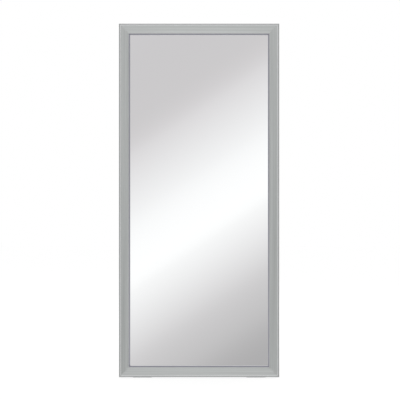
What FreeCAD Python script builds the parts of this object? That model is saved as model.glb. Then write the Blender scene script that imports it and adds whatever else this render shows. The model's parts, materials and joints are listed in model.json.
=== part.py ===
"""Leaning floor mirror: a mitred silver moulding round one tall pane, with its back board and hardware.

Millimetres.  +Z is up, the mirror faces -Y, and the origin is at the middle of the footprint on the floor.

Every rail is drawn in its own frame: X runs along the rail from its middle, Y is the depth behind the
front of the moulding, and Z is the distance in from the outer edge.  Each corner has a frame of its own
too: its origin is the outer corner on the back of the frame, with X and Z along the two rails.
"""

import FreeCAD
import Part
import Sketcher
import math
import os
import re

Vector = FreeCAD.Vector

# alias, millimetres, what it is
SIZES = [
    ("frame_width", 762, "outside width of the frame"),
    ("frame_height", 1680, "outside height of the frame"),
    ("frame_depth", 32, "front of the moulding to its back"),
    ("moulding_face", 53, "width of the moulding seen from the front"),
    ("rabbet_width", 10, "ledge that the pane rests against"),
    ("outer_round", 3.5, "round of the outer front edge"),
    ("bead_width", 9.5, "raised outer bead, from the outer edge"),
    ("bead_rise", 1.6, "height of the bead over the flat band"),
    ("slope_run", 7, "sloped sight edge, seen from the front"),
    ("nose_radius", 2, "round where the slope turns into the sight edge"),
    ("lip_edge", 4, "straight end of the sight edge"),
    ("back_round", 1.5, "round of the outer back edge"),
    ("cut_margin", 1, "how far a cut runs past the wood"),
    ("pane_clearance", 3, "gap between the pane's edge and the rabbet"),
    ("glass_thickness", 4, "mirror glass"),
    ("glass_seam", 0.5, "seamed edge of the glass"),
    ("foam_thickness", 2, "cushion behind the glass"),
    ("board_thickness", 3, "hardboard back"),
    ("block_length", 60, "rubber setting block under the pane"),
    ("point_thickness", 0.5, "glazing point, pressed steel"),
    ("point_width", 8, "glazing point"),
    ("point_bite", 7, "how far a point is pressed into the wood"),
    ("point_tip", 4, "length of a point's sharp end"),
    ("point_lap", 8, "how far a point laps the back board"),
    ("nail_gauge", 0.6, "V-nail, bent steel strip"),
    ("nail_wing", 6.5, "each wing of a V-nail"),
    ("nail_height", 10, "V-nail, along the mitre"),
    ("nail_sink", 0.5, "a V-nail lies this far under the wood"),
    ("nail_outer", 7, "outer V-nail, from both outer edges"),
    ("nail_inner", 36, "inner V-nail, from both outer edges"),
    ("plate_leg", 75, "corner plate, length of each leg"),
    ("plate_width", 16, "corner plate, width of each leg"),
    ("plate_gauge", 2, "corner plate, thickness"),
    ("plate_corner", 2, "corner plate, inner and outer corner round"),
    ("plate_near", 33, "corner plate, first screw from its corner"),
    ("plate_far", 63, "corner plate, second screw from its corner"),
    ("plate_head", 7, "countersunk head, diameter"),
    ("plate_shank", 3.5, "countersunk screw, shank diameter"),
    ("plate_screw", 16, "countersunk screw, length"),
    ("screw_tip", 3, "pointed end of every screw"),
    ("screw_play", 0.05, "gap round a screw in its hole"),
    ("recess_span", 3.6, "cross recess, tip to tip"),
    ("recess_slot", 0.9, "cross recess, width of a slot"),
    ("recess_depth", 1.1, "cross recess, depth"),
    ("strap_width", 16, "hanger strap"),
    ("strap_gauge", 1, "hanger strap, one layer of steel"),
    ("strap_slit", 0.1, "hanger strap, slit between its two layers"),
    ("strap_length", 38, "hanger strap, ring axis to tail"),
    ("strap_near", 13, "first strap screw, from the ring's axis"),
    ("strap_far", 29, "second strap screw, from the ring's axis"),
    ("hanger_head", 7.5, "pan head, diameter"),
    ("hanger_dome", 2.2, "pan head, height"),
    ("hanger_round", 1.2, "pan head, rounded rim"),
    ("hanger_shank", 3, "pan head screw, shank diameter"),
    ("hanger_screw", 16, "pan head screw, length under its head"),
    ("ring_wire", 3, "ring wire, diameter"),
    ("ring_play", 0.08, "gap round the ring's bar in the folded strap"),
    ("ring_side", 2, "gap between the strap's side and the ring"),
    ("ring_corner", 3, "ring, bend radius at each end of its bar"),
    ("ring_straight", 8, "ring, axis to where the bow begins"),
    ("ring_gap", 0.25, "gap under a ring that lies flat"),
    ("portrait_drop", 300, "stile hangers, ring axis below the top edge"),
    ("landscape_drop", 190, "rail hangers, ring axis from the right edge"),
    ("bumper_width", 12, "wall bumper, diameter"),
    ("bumper_height", 6.5, "wall bumper, stands clear of the hangers"),
    ("bumper_flat", 5, "wall bumper, diameter of its flat top"),
    ("bumper_edge", 1.5, "wall bumper, straight foot of its side"),
    ("bumper_inset", 110, "wall bumper, from the top or bottom edge"),
    ("pad_length", 90, "floor pad"),
    ("pad_width", 26, "floor pad"),
    ("pad_thickness", 2, "floor pad"),
    ("pad_corner", 4, "floor pad, rounded corners"),
    ("pad_inset", 110, "floor pad, its middle from the side of the frame"),
    ("groove_width", 2, "grip groove under a floor pad"),
    ("groove_depth", 0.8, "grip groove"),
    ("groove_pitch", 6, "from groove to groove"),
    ("groove_border", 5, "rubber left at each end of a groove"),
]
ALIASES = {alias for alias, value, meaning in SIZES}
GROOVE_COUNT = 4  # under each floor pad
STILE_POINT_COUNT = 8  # glazing points in each stile
RAIL_POINT_COUNT = 4  # glazing points in each rail
COUNTERSINK = 90  # degrees, of the plate screws' heads
LEAST_CUT = 0.001  # mm3, a cut that takes less than this has missed
FLAT = 0.001  # radians, how far a face may lean and still count as one of the glass's flat sides

doc = FreeCAD.newDocument("LeaningFloorMirror")
sheet = doc.addObject("Spreadsheet::Sheet", "Sizes")
for row, (alias, value, meaning) in enumerate(SIZES, start=1):
    sheet.set(f"A{row}", meaning)
    sheet.set(f"B{row}", str(value))
    sheet.setAlias(f"B{row}", alias)
doc.recompute()

# Places that several pieces share, written in the sheet's words
FRONT = "(-(frame_depth + bumper_height) / 2)"
BACK = f"({FRONT} + frame_depth)"
TOP = "(pad_thickness + frame_height)"
MIDDLE = "(pad_thickness + frame_height / 2)"
HALF_WIDTH = "(frame_width / 2)"
WALL = "(moulding_face - rabbet_width)"
CENTRE_LINE = f"({WALL} / 2)"
SLOPE_END = "(bead_rise + slope_run)"
LEDGE = f"({SLOPE_END} + (sqrt(2) - 1) * nose_radius + lip_edge)"
FOAM_FRONT = f"({LEDGE} + glass_thickness)"
BOARD_FRONT = f"({FOAM_FRONT} + foam_thickness)"
BOARD_BACK = f"({BOARD_FRONT} + board_thickness)"
PANE_WIDTH = f"(frame_width - 2 * {WALL} - 2 * pane_clearance)"
PANE_HEIGHT = f"(frame_height - 2 * {WALL} - 2 * pane_clearance)"
PLATE_EDGE = f"({CENTRE_LINE} - plate_width / 2)"
STRAP_DEPTH = "(2 * strap_gauge + strap_slit)"
BORE_RADIUS = "(ring_wire / 2 + ring_play)"
BARREL_RADIUS = f"({BORE_RADIUS} + strap_gauge)"
RING_HALF = "(strap_width / 2 + ring_side + ring_wire / 2)"
RING_REACH = f"(ring_straight + {RING_HALF})"
OVER_STRAP = f"(asin(({STRAP_DEPTH} + ring_wire / 2 + ring_gap - {BARREL_RADIUS}) / {RING_REACH}) / 1 deg)"
ON_WOOD = f"(asin(({BARREL_RADIUS} - ring_wire / 2 - ring_gap) / {RING_REACH}) / 1 deg)"


# ---------------------------------------------------------------- sheet and sketch helpers

def bound(text):
    """The same expression with every alias read from the sheet."""
    return re.sub(r"[a-z_]+", lambda word: f"Sizes.{word[0]}" if word[0] in ALIASES else word[0], text)


def number(text):
    """What an expression comes to now."""
    return float(sheet.evalExpression(bound(text)))


def bind(sketch, kind, geometry, point, text):
    """Hold one coordinate of a point of the sketch to an expression."""
    constraint = Sketcher.Constraint(kind, -1, 1, geometry, point, number(text))
    name = f"{kind.lower()}_{geometry}_{point}"
    sketch.renameConstraint(sketch.addConstraint(constraint), name)
    sketch.setExpression(f"Constraints.{name}", bound(text))


def arc_between(start, end, centre, turn):
    """An arc about centre, counter-clockwise from start to end, or from end to start if turn is -1."""
    first, last = (start, end) if turn > 0 else (end, start)
    begin = math.atan2(first.y - centre.y, first.x - centre.x)
    finish = math.atan2(last.y - centre.y, last.x - centre.x)
    if finish <= begin:
        finish += 2 * math.pi
    circle = Part.Circle(centre, Vector(0, 0, 1), (start - centre).Length)
    return Part.ArcOfCircle(circle, begin, finish)


def outline(sketch, corners):
    """Draw a closed outline, with every corner bound to the sheet.

    A corner is (x, y) where a straight edge leads on from it, and (x, y, centre x, centre y, turn) where
    an arc does: turn is 1 for a counter-clockwise arc and -1 for a clockwise one.
    """
    points = [Vector(number(corner[0]), number(corner[1]), 0) for corner in corners]
    edges = []
    for corner, start, end in zip(corners, points, points[1:] + points[:1]):
        if len(corner) == 2:
            edges.append((sketch.addGeometry(Part.LineSegment(start, end)), 1, 2))
            continue
        turn = corner[4]
        centre = Vector(number(corner[2]), number(corner[3]), 0)
        arc = sketch.addGeometry(arc_between(start, end, centre, turn))
        edges.append((arc, 1, 2) if turn > 0 else (arc, 2, 1))
    for (edge, begin, end), (following, start, finish) in zip(edges, edges[1:] + edges[:1]):
        sketch.addConstraint(Sketcher.Constraint("Coincident", edge, end, following, start))
    for corner, (edge, begin, end), start, stop in zip(corners, edges, points, points[1:] + points[:1]):
        bind(sketch, "DistanceX", edge, begin, corner[0])
        bind(sketch, "DistanceY", edge, begin, corner[1])
        if len(corner) == 5 and abs(stop.y - start.y) >= abs(stop.x - start.x):
            bind(sketch, "DistanceX", edge, 3, corner[2])
        elif len(corner) == 5:
            bind(sketch, "DistanceY", edge, 3, corner[3])


def rectangle(sketch, left, right, low, high):
    outline(sketch, [(left, low), (right, low), (right, high), (left, high)])


def circle(sketch, x, y, radius):
    """Draw a circle whose place and radius are bound to the sheet."""
    shape = Part.Circle(Vector(number(x), number(y), 0), Vector(0, 0, 1), number(radius))
    geometry = sketch.addGeometry(shape)
    bind(sketch, "DistanceX", geometry, 3, x)
    bind(sketch, "DistanceY", geometry, 3, y)
    size = sketch.addConstraint(Sketcher.Constraint("Radius", geometry, number(radius)))
    sketch.renameConstraint(size, f"radius_{geometry}")
    sketch.setExpression(f"Constraints.radius_{geometry}", bound(radius))


# ---------------------------------------------------------------- body helpers

def new_body(name):
    part = doc.addObject("PartDesign::Body", name)
    part.Label = name
    return part


def origin_feature(part, role):
    return next(feature for feature in part.Origin.OriginFeatures if feature.Role == role)


def sketch_on(part, role, name, lift="0"):
    """A sketch on one of the body's own planes, lifted along the plane's normal."""
    sketch = part.newObject("Sketcher::SketchObject", f"{part.Label}_{name}")
    sketch.AttachmentSupport = [(origin_feature(part, role), "")]
    sketch.MapMode = "FlatFace"
    sketch.setExpression("AttachmentOffset.Base.z", bound(lift))
    return sketch


def pad(part, sketch, length, side="One side", backwards=False):
    feature = part.newObject("PartDesign::Pad", f"{sketch.Name}_pad")
    feature.Profile = sketch
    feature.SideType = side
    feature.Reversed = backwards
    feature.setExpression("Length", bound(length))
    sketch.Visibility = False
    return feature


def pocket(part, sketch, depth=None, backwards=False):
    """Cut the sketch to a depth, or right through the body both ways where no depth is given."""
    feature = part.newObject("PartDesign::Pocket", f"{sketch.Name}_cut")
    feature.Profile = sketch
    feature.Reversed = backwards
    if depth is None:
        feature.Type = "ThroughAll"
        feature.SideType = "Symmetric"
    else:
        feature.setExpression("Length", bound(depth))
    sketch.Visibility = False
    return feature


def turned(part, sketch):
    """Turn a half section about the sketch's upright axis."""
    feature = part.newObject("PartDesign::Revolution", f"{sketch.Name}_turned")
    feature.Profile = sketch
    feature.ReferenceAxis = (sketch, ["V_Axis"])
    feature.Angle = 360
    return feature


def row_of(part, feature, role, length, count):
    """Repeat a feature in a straight row."""
    pattern = part.newObject("PartDesign::LinearPattern", f"{feature.Name}_row")
    pattern.Originals = [feature]
    pattern.Direction = (origin_feature(part, role), [""])
    pattern.setExpression("Length", bound(length))
    pattern.Occurrences = count
    part.Tip = pattern
    return pattern


def place(part, x, y, z, turn=0, tilt="0"):
    """Bind a placement: turned about Y by turn degrees, after a tilt about the piece's own X."""
    rotation = f"rotation(vector(0; 1; 0); {turn}) * rotation(vector(1; 0; 0); {bound(tilt)})"
    base = f"vector({bound(x)}; {bound(y)}; {bound(z)})"
    part.setExpression("Placement", f"placement({base}; {rotation})")


# ---------------------------------------------------------------- the frame's four mouldings

# name: length, turn about Y, place, count of glazing points, hanger's drop, end that the hanger is near
RAILS = {
    "frame_rail_bottom": ("frame_width", 0, "0", "pad_thickness", RAIL_POINT_COUNT, "landscape_drop", 1),
    "frame_rail_top": ("frame_width", 180, "0", TOP, RAIL_POINT_COUNT, "landscape_drop", -1),
    "frame_stile_right": ("frame_height", -90, HALF_WIDTH, MIDDLE, STILE_POINT_COUNT, "portrait_drop", 1),
    "frame_stile_left": ("frame_height", 90, f"-{HALF_WIDTH}", MIDDLE, STILE_POINT_COUNT, "portrait_drop", -1),
}


def moulding_profile(sketch):
    """The section of the moulding: depth behind the front along x, distance in from the edge along y."""
    bead_end = "bead_width - bead_rise"
    tangent = "(1 - sqrt(0.5)) * nose_radius"
    outline(sketch, [
        ("outer_round", "0", "outer_round", "outer_round", -1),
        ("0", "outer_round"),
        ("0", bead_end, "bead_rise", bead_end, -1),
        ("bead_rise", "bead_width"),
        ("bead_rise", "moulding_face - slope_run"),
        (f"{SLOPE_END} - {tangent}", f"moulding_face - {tangent}",
         f"{LEDGE} - lip_edge", "moulding_face - nose_radius", -1),
        (f"{LEDGE} - lip_edge", "moulding_face"),
        (LEDGE, "moulding_face"),
        (LEDGE, WALL),
        ("frame_depth", WALL),
        ("frame_depth", "back_round", "frame_depth - back_round", "back_round", -1),
        ("frame_depth - back_round", "0"),
    ])


def mitre_cut(sketch, length, end):
    """The triangle that a mitre takes off one end, a little larger than the wood."""
    tip = f"{end} * ({length} / 2 + cut_margin)"
    outline(sketch, [
        (tip, "-cut_margin"),
        (tip, "moulding_face + cut_margin"),
        (f"{end} * ({length} / 2 - moulding_face - cut_margin)", "moulding_face + cut_margin"),
    ])


def nail_kerfs(sketch, length):
    """One wing of each V-nail lies in this rail, along its length."""
    for end in (-1, 1):
        for corner in ("nail_outer", "nail_inner"):
            near = f"{end} * ({length} / 2 - {corner})"
            far = f"{end} * ({length} / 2 - {corner} - nail_wing)"
            rectangle(sketch, near, far, corner, f"{corner} + nail_gauge")


def point_pitch(length, count):
    return f"(({length} - 2 * moulding_face) / {count})"


def first_point(length, count):
    return f"(-({count} - 1) / 2 * {point_pitch(length, count)})"


def point_tab(sketch, middle, lap_end):
    """A glazing point: a tab with a sharp end that is pressed into the rabbet's wall."""
    left = f"{middle} - point_width / 2"
    right = f"{middle} + point_width / 2"
    shoulder = f"{WALL} - point_bite + point_tip"
    outline(sketch, [
        (middle, f"{WALL} - point_bite"),
        (right, shoulder),
        (right, lap_end),
        (left, lap_end),
        (left, shoulder),
    ])


def frame_member(name):
    """One length of moulding, mitred, with its kerfs, glazing slots and pilot holes."""
    length, turn, x, z, count, drop, end_near_hanger = RAILS[name]
    part = new_body(name)
    profile = sketch_on(part, "YZ_Plane", "profile")
    moulding_profile(profile)
    pad(part, profile, length, side="Symmetric")

    mitres = sketch_on(part, "XZ_Plane", "mitres")
    mitre_cut(mitres, length, -1)
    mitre_cut(mitres, length, 1)
    pocket(part, mitres)

    kerfs = sketch_on(part, "XZ_Plane", "kerfs", "-frame_depth")
    nail_kerfs(kerfs, length)
    pocket(part, kerfs, "nail_height + nail_sink", backwards=True)

    slot = sketch_on(part, "XZ_Plane", "slot", f"-{BOARD_BACK}")
    point_tab(slot, first_point(length, count), f"{WALL} + cut_margin")
    cut = pocket(part, slot, "point_thickness")
    row_of(part, cut, "X_Axis", f"({count} - 1) * {point_pitch(length, count)}", count)

    plate_holes = sketch_on(part, "XZ_Plane", "plate_holes", "-frame_depth")
    for end in (-1, 1):
        for screw in ("plate_near", "plate_far"):
            along = f"{end} * ({length} / 2 - {PLATE_EDGE} - {screw})"
            circle(plate_holes, along, CENTRE_LINE, "plate_shank / 2 + screw_play")
    pocket(part, plate_holes, "plate_screw - plate_gauge + screw_play", backwards=True)

    hanger_holes = sketch_on(part, "XZ_Plane", "hanger_holes", "-frame_depth")
    for screw in ("strap_near", "strap_far"):
        along = f"{end_near_hanger} * ({length} / 2 - {drop} - {screw})"
        circle(hanger_holes, along, CENTRE_LINE, "hanger_shank / 2 + screw_play")
    pocket(part, hanger_holes, f"hanger_screw - {STRAP_DEPTH} + screw_play", backwards=True)
    place(part, x, FRONT, z, turn)
    return part


# ---------------------------------------------------------------- what lies in the rabbet

def sheet_in_rabbet(name, front, thickness):
    """A flat sheet with the pane's outline, standing on the setting blocks."""
    part = new_body(name)
    face = sketch_on(part, "XZ_Plane", "face")
    rectangle(face, f"-{PANE_WIDTH} / 2", f"{PANE_WIDTH} / 2", "0", PANE_HEIGHT)
    pad(part, face, thickness, backwards=True)
    place(part, "0", f"{FRONT} + {front}", f"pad_thickness + {WALL} + pane_clearance")
    return part


def mirror_pane():
    """Silvered glass whose sharp edges are seamed on both faces."""
    part = sheet_in_rabbet("mirror_pane", LEDGE, "glass_thickness")
    doc.recompute()
    blank = part.Tip
    flat_faces = [f"Face{index}" for index, face in enumerate(blank.Shape.Faces, start=1)
                  if face.normalAt(0, 0).isParallel(Vector(0, 1, 0), FLAT)]
    seam = part.newObject("PartDesign::Chamfer", "seamed_edges")
    seam.Base = (blank, flat_faces)
    seam.setExpression("Size", bound("glass_seam"))
    return part


def setting_block(name, side):
    """A rubber block in the bottom rabbet that carries a quarter of the pane's width."""
    part = new_body(name)
    face = sketch_on(part, "XZ_Plane", "face")
    rectangle(face, "-block_length / 2", "block_length / 2", "0", "pane_clearance")
    pad(part, face, f"{BOARD_BACK} - {LEDGE}", backwards=True)
    place(part, f"{side} * {PANE_WIDTH} / 4", f"{FRONT} + {LEDGE}", f"pad_thickness + {WALL}")
    return part


def glazing_points(name, rail):
    """The row of steel points along one rail that holds the back board down."""
    length, turn, x, z, count = RAILS[rail][:5]
    part = new_body(name)
    tab = sketch_on(part, "XZ_Plane", "tab")
    point_tab(tab, first_point(length, count), f"{WALL} + pane_clearance + point_lap")
    first = pad(part, tab, "point_thickness", backwards=True)
    row_of(part, first, "X_Axis", f"({count} - 1) * {point_pitch(length, count)}", count)
    place(part, x, f"{FRONT} + {BOARD_BACK}", z, turn)
    return part


# ---------------------------------------------------------------- corners

# corner: turn about Y, side of the frame, height, and 1 where the stile runs up from it or -1 for down
CORNERS = {
    "bottom_left": (0, -1, "pad_thickness", 1),
    "bottom_right": (-90, 1, "pad_thickness", 1),
    "top_right": (180, 1, TOP, -1),
    "top_left": (90, -1, TOP, -1),
}


def at_corner(part, corner):
    """Place a piece that is drawn from the frame's outer corner, on the back."""
    turn, side, z, up = CORNERS[corner]
    place(part, f"{side} * {HALF_WIDTH}", BACK, z, turn)


def v_nails(corner):
    """Two V-nails driven into a mitre from the back, one wing in each rail."""
    part = new_body(f"v_nails_{corner}")
    section = sketch_on(part, "XZ_Plane", "section", "nail_sink")
    for apex in ("nail_outer", "nail_inner"):
        inside = f"{apex} + nail_gauge"
        wing = f"{apex} + nail_wing"
        outline(section, [(apex, apex), (wing, apex), (wing, inside),
                          (inside, inside), (inside, wing), (apex, wing)])
    pad(part, section, "nail_height")
    at_corner(part, corner)
    return part


def corner_plate(corner):
    """A flat steel angle with round leg ends and four countersunk holes."""
    part = new_body(f"corner_plate_{corner}")
    face = sketch_on(part, "XZ_Plane", "face")
    low = PLATE_EDGE
    high = f"({PLATE_EDGE} + plate_width)"
    end = f"({PLATE_EDGE} + plate_leg - plate_width / 2)"
    outline(face, [
        (f"{low} + plate_corner", low),
        (end, low, end, CENTRE_LINE, 1),
        (end, high),
        (f"{high} + plate_corner", high, f"{high} + plate_corner", f"{high} + plate_corner", -1),
        (high, f"{high} + plate_corner"),
        (high, end, CENTRE_LINE, end, 1),
        (low, end),
        (low, f"{low} + plate_corner", f"{low} + plate_corner", f"{low} + plate_corner", 1),
    ])
    pad(part, face, "plate_gauge", backwards=True)
    centres = sketch_on(part, "XZ_Plane", "hole_centres", "-plate_gauge")
    for screw in ("plate_near", "plate_far"):
        along = f"{PLATE_EDGE} + {screw}"
        circle(centres, along, CENTRE_LINE, "plate_shank / 2 + screw_play")
        circle(centres, CENTRE_LINE, along, "plate_shank / 2 + screw_play")
    doc.recompute()
    holes = part.newObject("PartDesign::Hole", f"{part.Label}_holes")
    holes.Profile = centres
    holes.Reversed = True
    holes.DepthType = "ThroughAll"
    holes.HoleCutType = "Countersink"
    holes.HoleCutCountersinkAngle = COUNTERSINK
    holes.setExpression("Diameter", bound("plate_shank + 2 * screw_play"))
    holes.setExpression("HoleCutDiameter", bound("plate_head + 2 * screw_play"))
    centres.Visibility = False
    at_corner(part, corner)
    return part


def cross_recess(part, top):
    """The cross that the driver fits, cut down from the top of a head."""
    cross = sketch_on(part, "XZ_Plane", "recess", f"-{top}")
    arm = "recess_span / 2"
    slot = "recess_slot / 2"
    outline(cross, [
        (f"-{slot}", f"-{arm}"), (slot, f"-{arm}"), (slot, f"-{slot}"), (arm, f"-{slot}"),
        (arm, slot), (slot, slot), (slot, arm), (f"-{slot}", arm),
        (f"-{slot}", slot), (f"-{arm}", slot), (f"-{arm}", f"-{slot}"), (f"-{slot}", f"-{slot}"),
    ])
    pocket(part, cross, "recess_depth", backwards=True)


def countersunk_screw():
    """Its head's flat top is at the origin and its point looks along -Y."""
    part = new_body("countersunk_screw")
    half = sketch_on(part, "XY_Plane", "half")
    outline(half, [
        ("0", "0"),
        ("0", "-plate_screw"),
        ("plate_shank / 2", "screw_tip - plate_screw"),
        ("plate_shank / 2", "-(plate_head - plate_shank) / 2"),
        ("plate_head / 2", "0"),
    ])
    turned(part, half)
    cross_recess(part, "0")
    return part


def pan_head_screw():
    """The seat of its head is at the origin and its point looks along -Y."""
    part = new_body("pan_head_screw")
    half = sketch_on(part, "XY_Plane", "half")
    outline(half, [
        ("0", "hanger_dome"),
        ("0", f"{STRAP_DEPTH} - hanger_screw"),
        ("hanger_shank / 2", f"{STRAP_DEPTH} - hanger_screw + screw_tip"),
        ("hanger_shank / 2", "0"),
        ("hanger_head / 2", "0"),
        ("hanger_head / 2", "hanger_dome - hanger_round",
         "hanger_head / 2 - hanger_round", "hanger_dome - hanger_round", 1),
        ("hanger_head / 2 - hanger_round", "hanger_dome"),
    ])
    turned(part, half)
    cross_recess(part, "hanger_dome")
    return part


def group_of(name, piece, spots):
    """Copies of one piece, as a group of separate solids."""
    links = []
    for index, (x, y, z) in enumerate(spots):
        link = doc.addObject("App::Link", f"{name}_{index}")
        link.LinkedObject = piece
        place(link, x, y, z)
        links.append(link)
    group = doc.addObject("Part::Compound", name)
    group.Label = name
    group.Links = links
    return group


def corner_plate_screws():
    """Four countersunk screws in each corner plate."""
    spots = []
    for _, side, z, up in CORNERS.values():
        for screw in ("plate_near", "plate_far"):
            along = f"({PLATE_EDGE} + {screw})"
            for inward, upward in ((along, CENTRE_LINE), (CENTRE_LINE, along)):
                spots.append((f"{side} * ({HALF_WIDTH} - {inward})", f"{BACK} + plate_gauge",
                              f"{z} + {up} * {upward}"))
    return group_of("corner_plate_screws", countersunk_screw(), spots)


# ---------------------------------------------------------------- ring hangers

# A hanger's own frame: X along the ring's axis, Y out of the wood, and the strap runs down from the ring
STILE_RING = f"{TOP} - portrait_drop"
RAIL_RING = f"{HALF_WIDTH} - landscape_drop"
HANGERS = {
    "left": (0, f"{CENTRE_LINE} - {HALF_WIDTH}", STILE_RING, f"{OVER_STRAP} - 180"),
    "right": (0, f"{HALF_WIDTH} - {CENTRE_LINE}", STILE_RING, f"{OVER_STRAP} - 180"),
    "top": (90, RAIL_RING, f"{TOP} - {CENTRE_LINE}", ON_WOOD),
    "bottom": (90, RAIL_RING, f"pad_thickness + {CENTRE_LINE}", ON_WOOD),
}


def hanger_strap(side):
    """One steel strip folded in two round the ring's bar, with a round tail and two holes."""
    turn, x, z, _ = HANGERS[side]
    part = new_body(f"hanger_strap_{side}")
    fold = sketch_on(part, "YZ_Plane", "fold")
    upper = "(strap_gauge + strap_slit)"
    outline(fold, [
        ("0", "-strap_length"),
        ("0", "0", BARREL_RADIUS, "0", -1),
        (STRAP_DEPTH, f"-sqrt(({BARREL_RADIUS})^2 - ({BARREL_RADIUS} - {STRAP_DEPTH})^2)"),
        (STRAP_DEPTH, "-strap_length"),
        (upper, "-strap_length"),
        (upper, f"-sqrt(({BORE_RADIUS})^2 - ({BARREL_RADIUS} - {upper})^2)", BARREL_RADIUS, "0", 1),
        ("strap_gauge", "0"),
        ("strap_gauge", "-strap_length"),
    ])
    pad(part, fold, "strap_width", side="Symmetric")

    tail = sketch_on(part, "XZ_Plane", "tail")
    half = "strap_width / 2"
    begins = f"({half} - strap_length)"
    below = "-strap_length - cut_margin"
    outline(tail, [
        (f"-{half} - cut_margin", below),
        (f"{half} + cut_margin", below),
        (f"{half} + cut_margin", begins),
        (half, begins, "0", begins, -1),
        (f"-{half}", begins),
        (f"-{half} - cut_margin", begins),
    ])
    pocket(part, tail)

    holes = sketch_on(part, "XZ_Plane", "holes")
    for screw in ("strap_near", "strap_far"):
        circle(holes, "0", f"-{screw}", "hanger_shank / 2 + screw_play")
    pocket(part, holes)
    place(part, x, BACK, z, turn)
    return part


def hanger_ring(side):
    """A bow of round wire, bent to a D, whose straight bar turns in the folded strap."""
    turn, x, z, tilt = HANGERS[side]
    part = new_body(f"hanger_ring_{side}")
    path = sketch_on(part, "XZ_Plane", "path")
    bar = f"({RING_HALF} - ring_corner)"
    outline(path, [
        ("0", "0"),
        (bar, "0", bar, "ring_corner", 1),
        (RING_HALF, "ring_corner"),
        (RING_HALF, "ring_straight", "0", "ring_straight", 1),
        (f"-{RING_HALF}", "ring_straight"),
        (f"-{RING_HALF}", "ring_corner", f"-{bar}", "ring_corner", 1),
        (f"-{bar}", "0"),
    ])
    wire = sketch_on(part, "YZ_Plane", "wire")
    circle(wire, "0", "0", "ring_wire / 2")
    doc.recompute()
    bow = part.newObject("PartDesign::AdditivePipe", f"{part.Label}_bow")
    bow.Profile = wire
    bow.Spine = (path, [f"Edge{index}" for index in range(1, len(path.Shape.Edges) + 1)])
    path.Visibility = False
    wire.Visibility = False
    place(part, x, f"{BACK} + {BARREL_RADIUS}", z, turn, tilt)
    return part


def hanger_screws():
    """Two pan-head screws in each strap, in line behind its ring."""
    spots = []
    for turn, x, z, _ in HANGERS.values():
        for screw in ("strap_near", "strap_far"):
            across, down = (screw, "0") if turn else ("0", screw)
            spots.append((f"{x} - {across}", f"{BACK} + {STRAP_DEPTH}", f"{z} - {down}"))
    return group_of("hanger_screws", pan_head_screw(), spots)


# ---------------------------------------------------------------- rubber

def rubber_bumper():
    """A rubber dome with a flat top: its foot is at the origin and it stands out along +Y."""
    part = new_body("rubber_bumper")
    half = sketch_on(part, "XY_Plane", "half")
    run = "((bumper_width - bumper_flat) / 2)"
    rise = "(bumper_height - bumper_edge)"
    radius = f"(({run}^2 + {rise}^2) / (2 * {run}))"
    outline(half, [
        ("0", "0"),
        ("bumper_width / 2", "0"),
        ("bumper_width / 2", "bumper_edge", f"bumper_width / 2 - {radius}", "bumper_edge", 1),
        ("bumper_flat / 2", "bumper_height"),
        ("0", "bumper_height"),
    ])
    turned(part, half)
    return part


def wall_bumpers():
    """Four bumpers stuck to the backs of the stiles, near their ends."""
    spots = []
    for _, side, z, up in CORNERS.values():
        spots.append((f"{side} * ({HALF_WIDTH} - {CENTRE_LINE})", BACK, f"{z} + {up} * bumper_inset"))
    return group_of("wall_bumpers", rubber_bumper(), spots)


def floor_pad(name, side):
    """A rubber pad under the bottom rail, with grip grooves that stop short of its ends."""
    part = new_body(name)
    face = sketch_on(part, "XY_Plane", "face")
    far_x = "pad_length / 2"
    far_y = "pad_width / 2"
    near_x = f"({far_x} - pad_corner)"
    near_y = f"({far_y} - pad_corner)"
    outline(face, [
        (f"-{near_x}", f"-{far_y}"),
        (near_x, f"-{far_y}", near_x, f"-{near_y}", 1),
        (far_x, f"-{near_y}"),
        (far_x, near_y, near_x, near_y, 1),
        (near_x, far_y),
        (f"-{near_x}", far_y, f"-{near_x}", near_y, 1),
        (f"-{far_x}", near_y),
        (f"-{far_x}", f"-{near_y}", f"-{near_x}", f"-{near_y}", 1),
    ])
    pad(part, face, "pad_thickness")

    groove = sketch_on(part, "XY_Plane", "groove")
    first = f"-{GROOVE_COUNT - 1} / 2 * groove_pitch"
    end = f"({far_x} - groove_border)"
    rectangle(groove, f"-{end}", end, f"{first} - groove_width / 2", f"{first} + groove_width / 2")
    cut = pocket(part, groove, "groove_depth", backwards=True)
    row_of(part, cut, "Y_Axis", f"{GROOVE_COUNT - 1} * groove_pitch", GROOVE_COUNT)
    middle = "(outer_round + frame_depth - back_round) / 2"
    place(part, f"{side} * ({HALF_WIDTH} - pad_inset)", f"{FRONT} + {middle}", "0")
    return part


# ---------------------------------------------------------------- assembly

def all_pieces():
    pieces = [frame_member(name) for name in RAILS]
    pieces.append(mirror_pane())
    pieces.append(sheet_in_rabbet("foam_cushion_sheet", FOAM_FRONT, "foam_thickness"))
    pieces.append(sheet_in_rabbet("backing_board", BOARD_FRONT, "board_thickness"))
    for rail in RAILS:
        pieces.append(glazing_points(f"glazing_points_{rail.split('_')[-1]}", rail))
    for corner in CORNERS:
        pieces.append(v_nails(corner))
        pieces.append(corner_plate(corner))
    for side in HANGERS:
        pieces.append(hanger_strap(side))
        pieces.append(hanger_ring(side))
    for name, side in (("left", -1), ("right", 1)):
        pieces.append(setting_block(f"setting_block_{name}", side))
        pieces.append(floor_pad(f"floor_pad_{name}", side))
    pieces += [corner_plate_screws(), hanger_screws(), wall_bumpers()]
    return pieces


def check_document():
    """Stop if a feature failed, a sketch is loose or a cut took nothing away."""
    for item in doc.Objects:
        if "Invalid" in item.State or "Error" in item.State:
            raise RuntimeError(f"{item.Label} failed: {item.State}")
        if item.TypeId == "Sketcher::SketchObject" and item.solve() != 0:
            raise RuntimeError(f"{item.Label} can't be solved")
        if item.TypeId in ("PartDesign::Pocket", "PartDesign::Hole"):
            if item.Shape.Volume > item.BaseFeature.Shape.Volume - LEAST_CUT:
                raise RuntimeError(f"{item.Label} cuts nothing")


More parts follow.
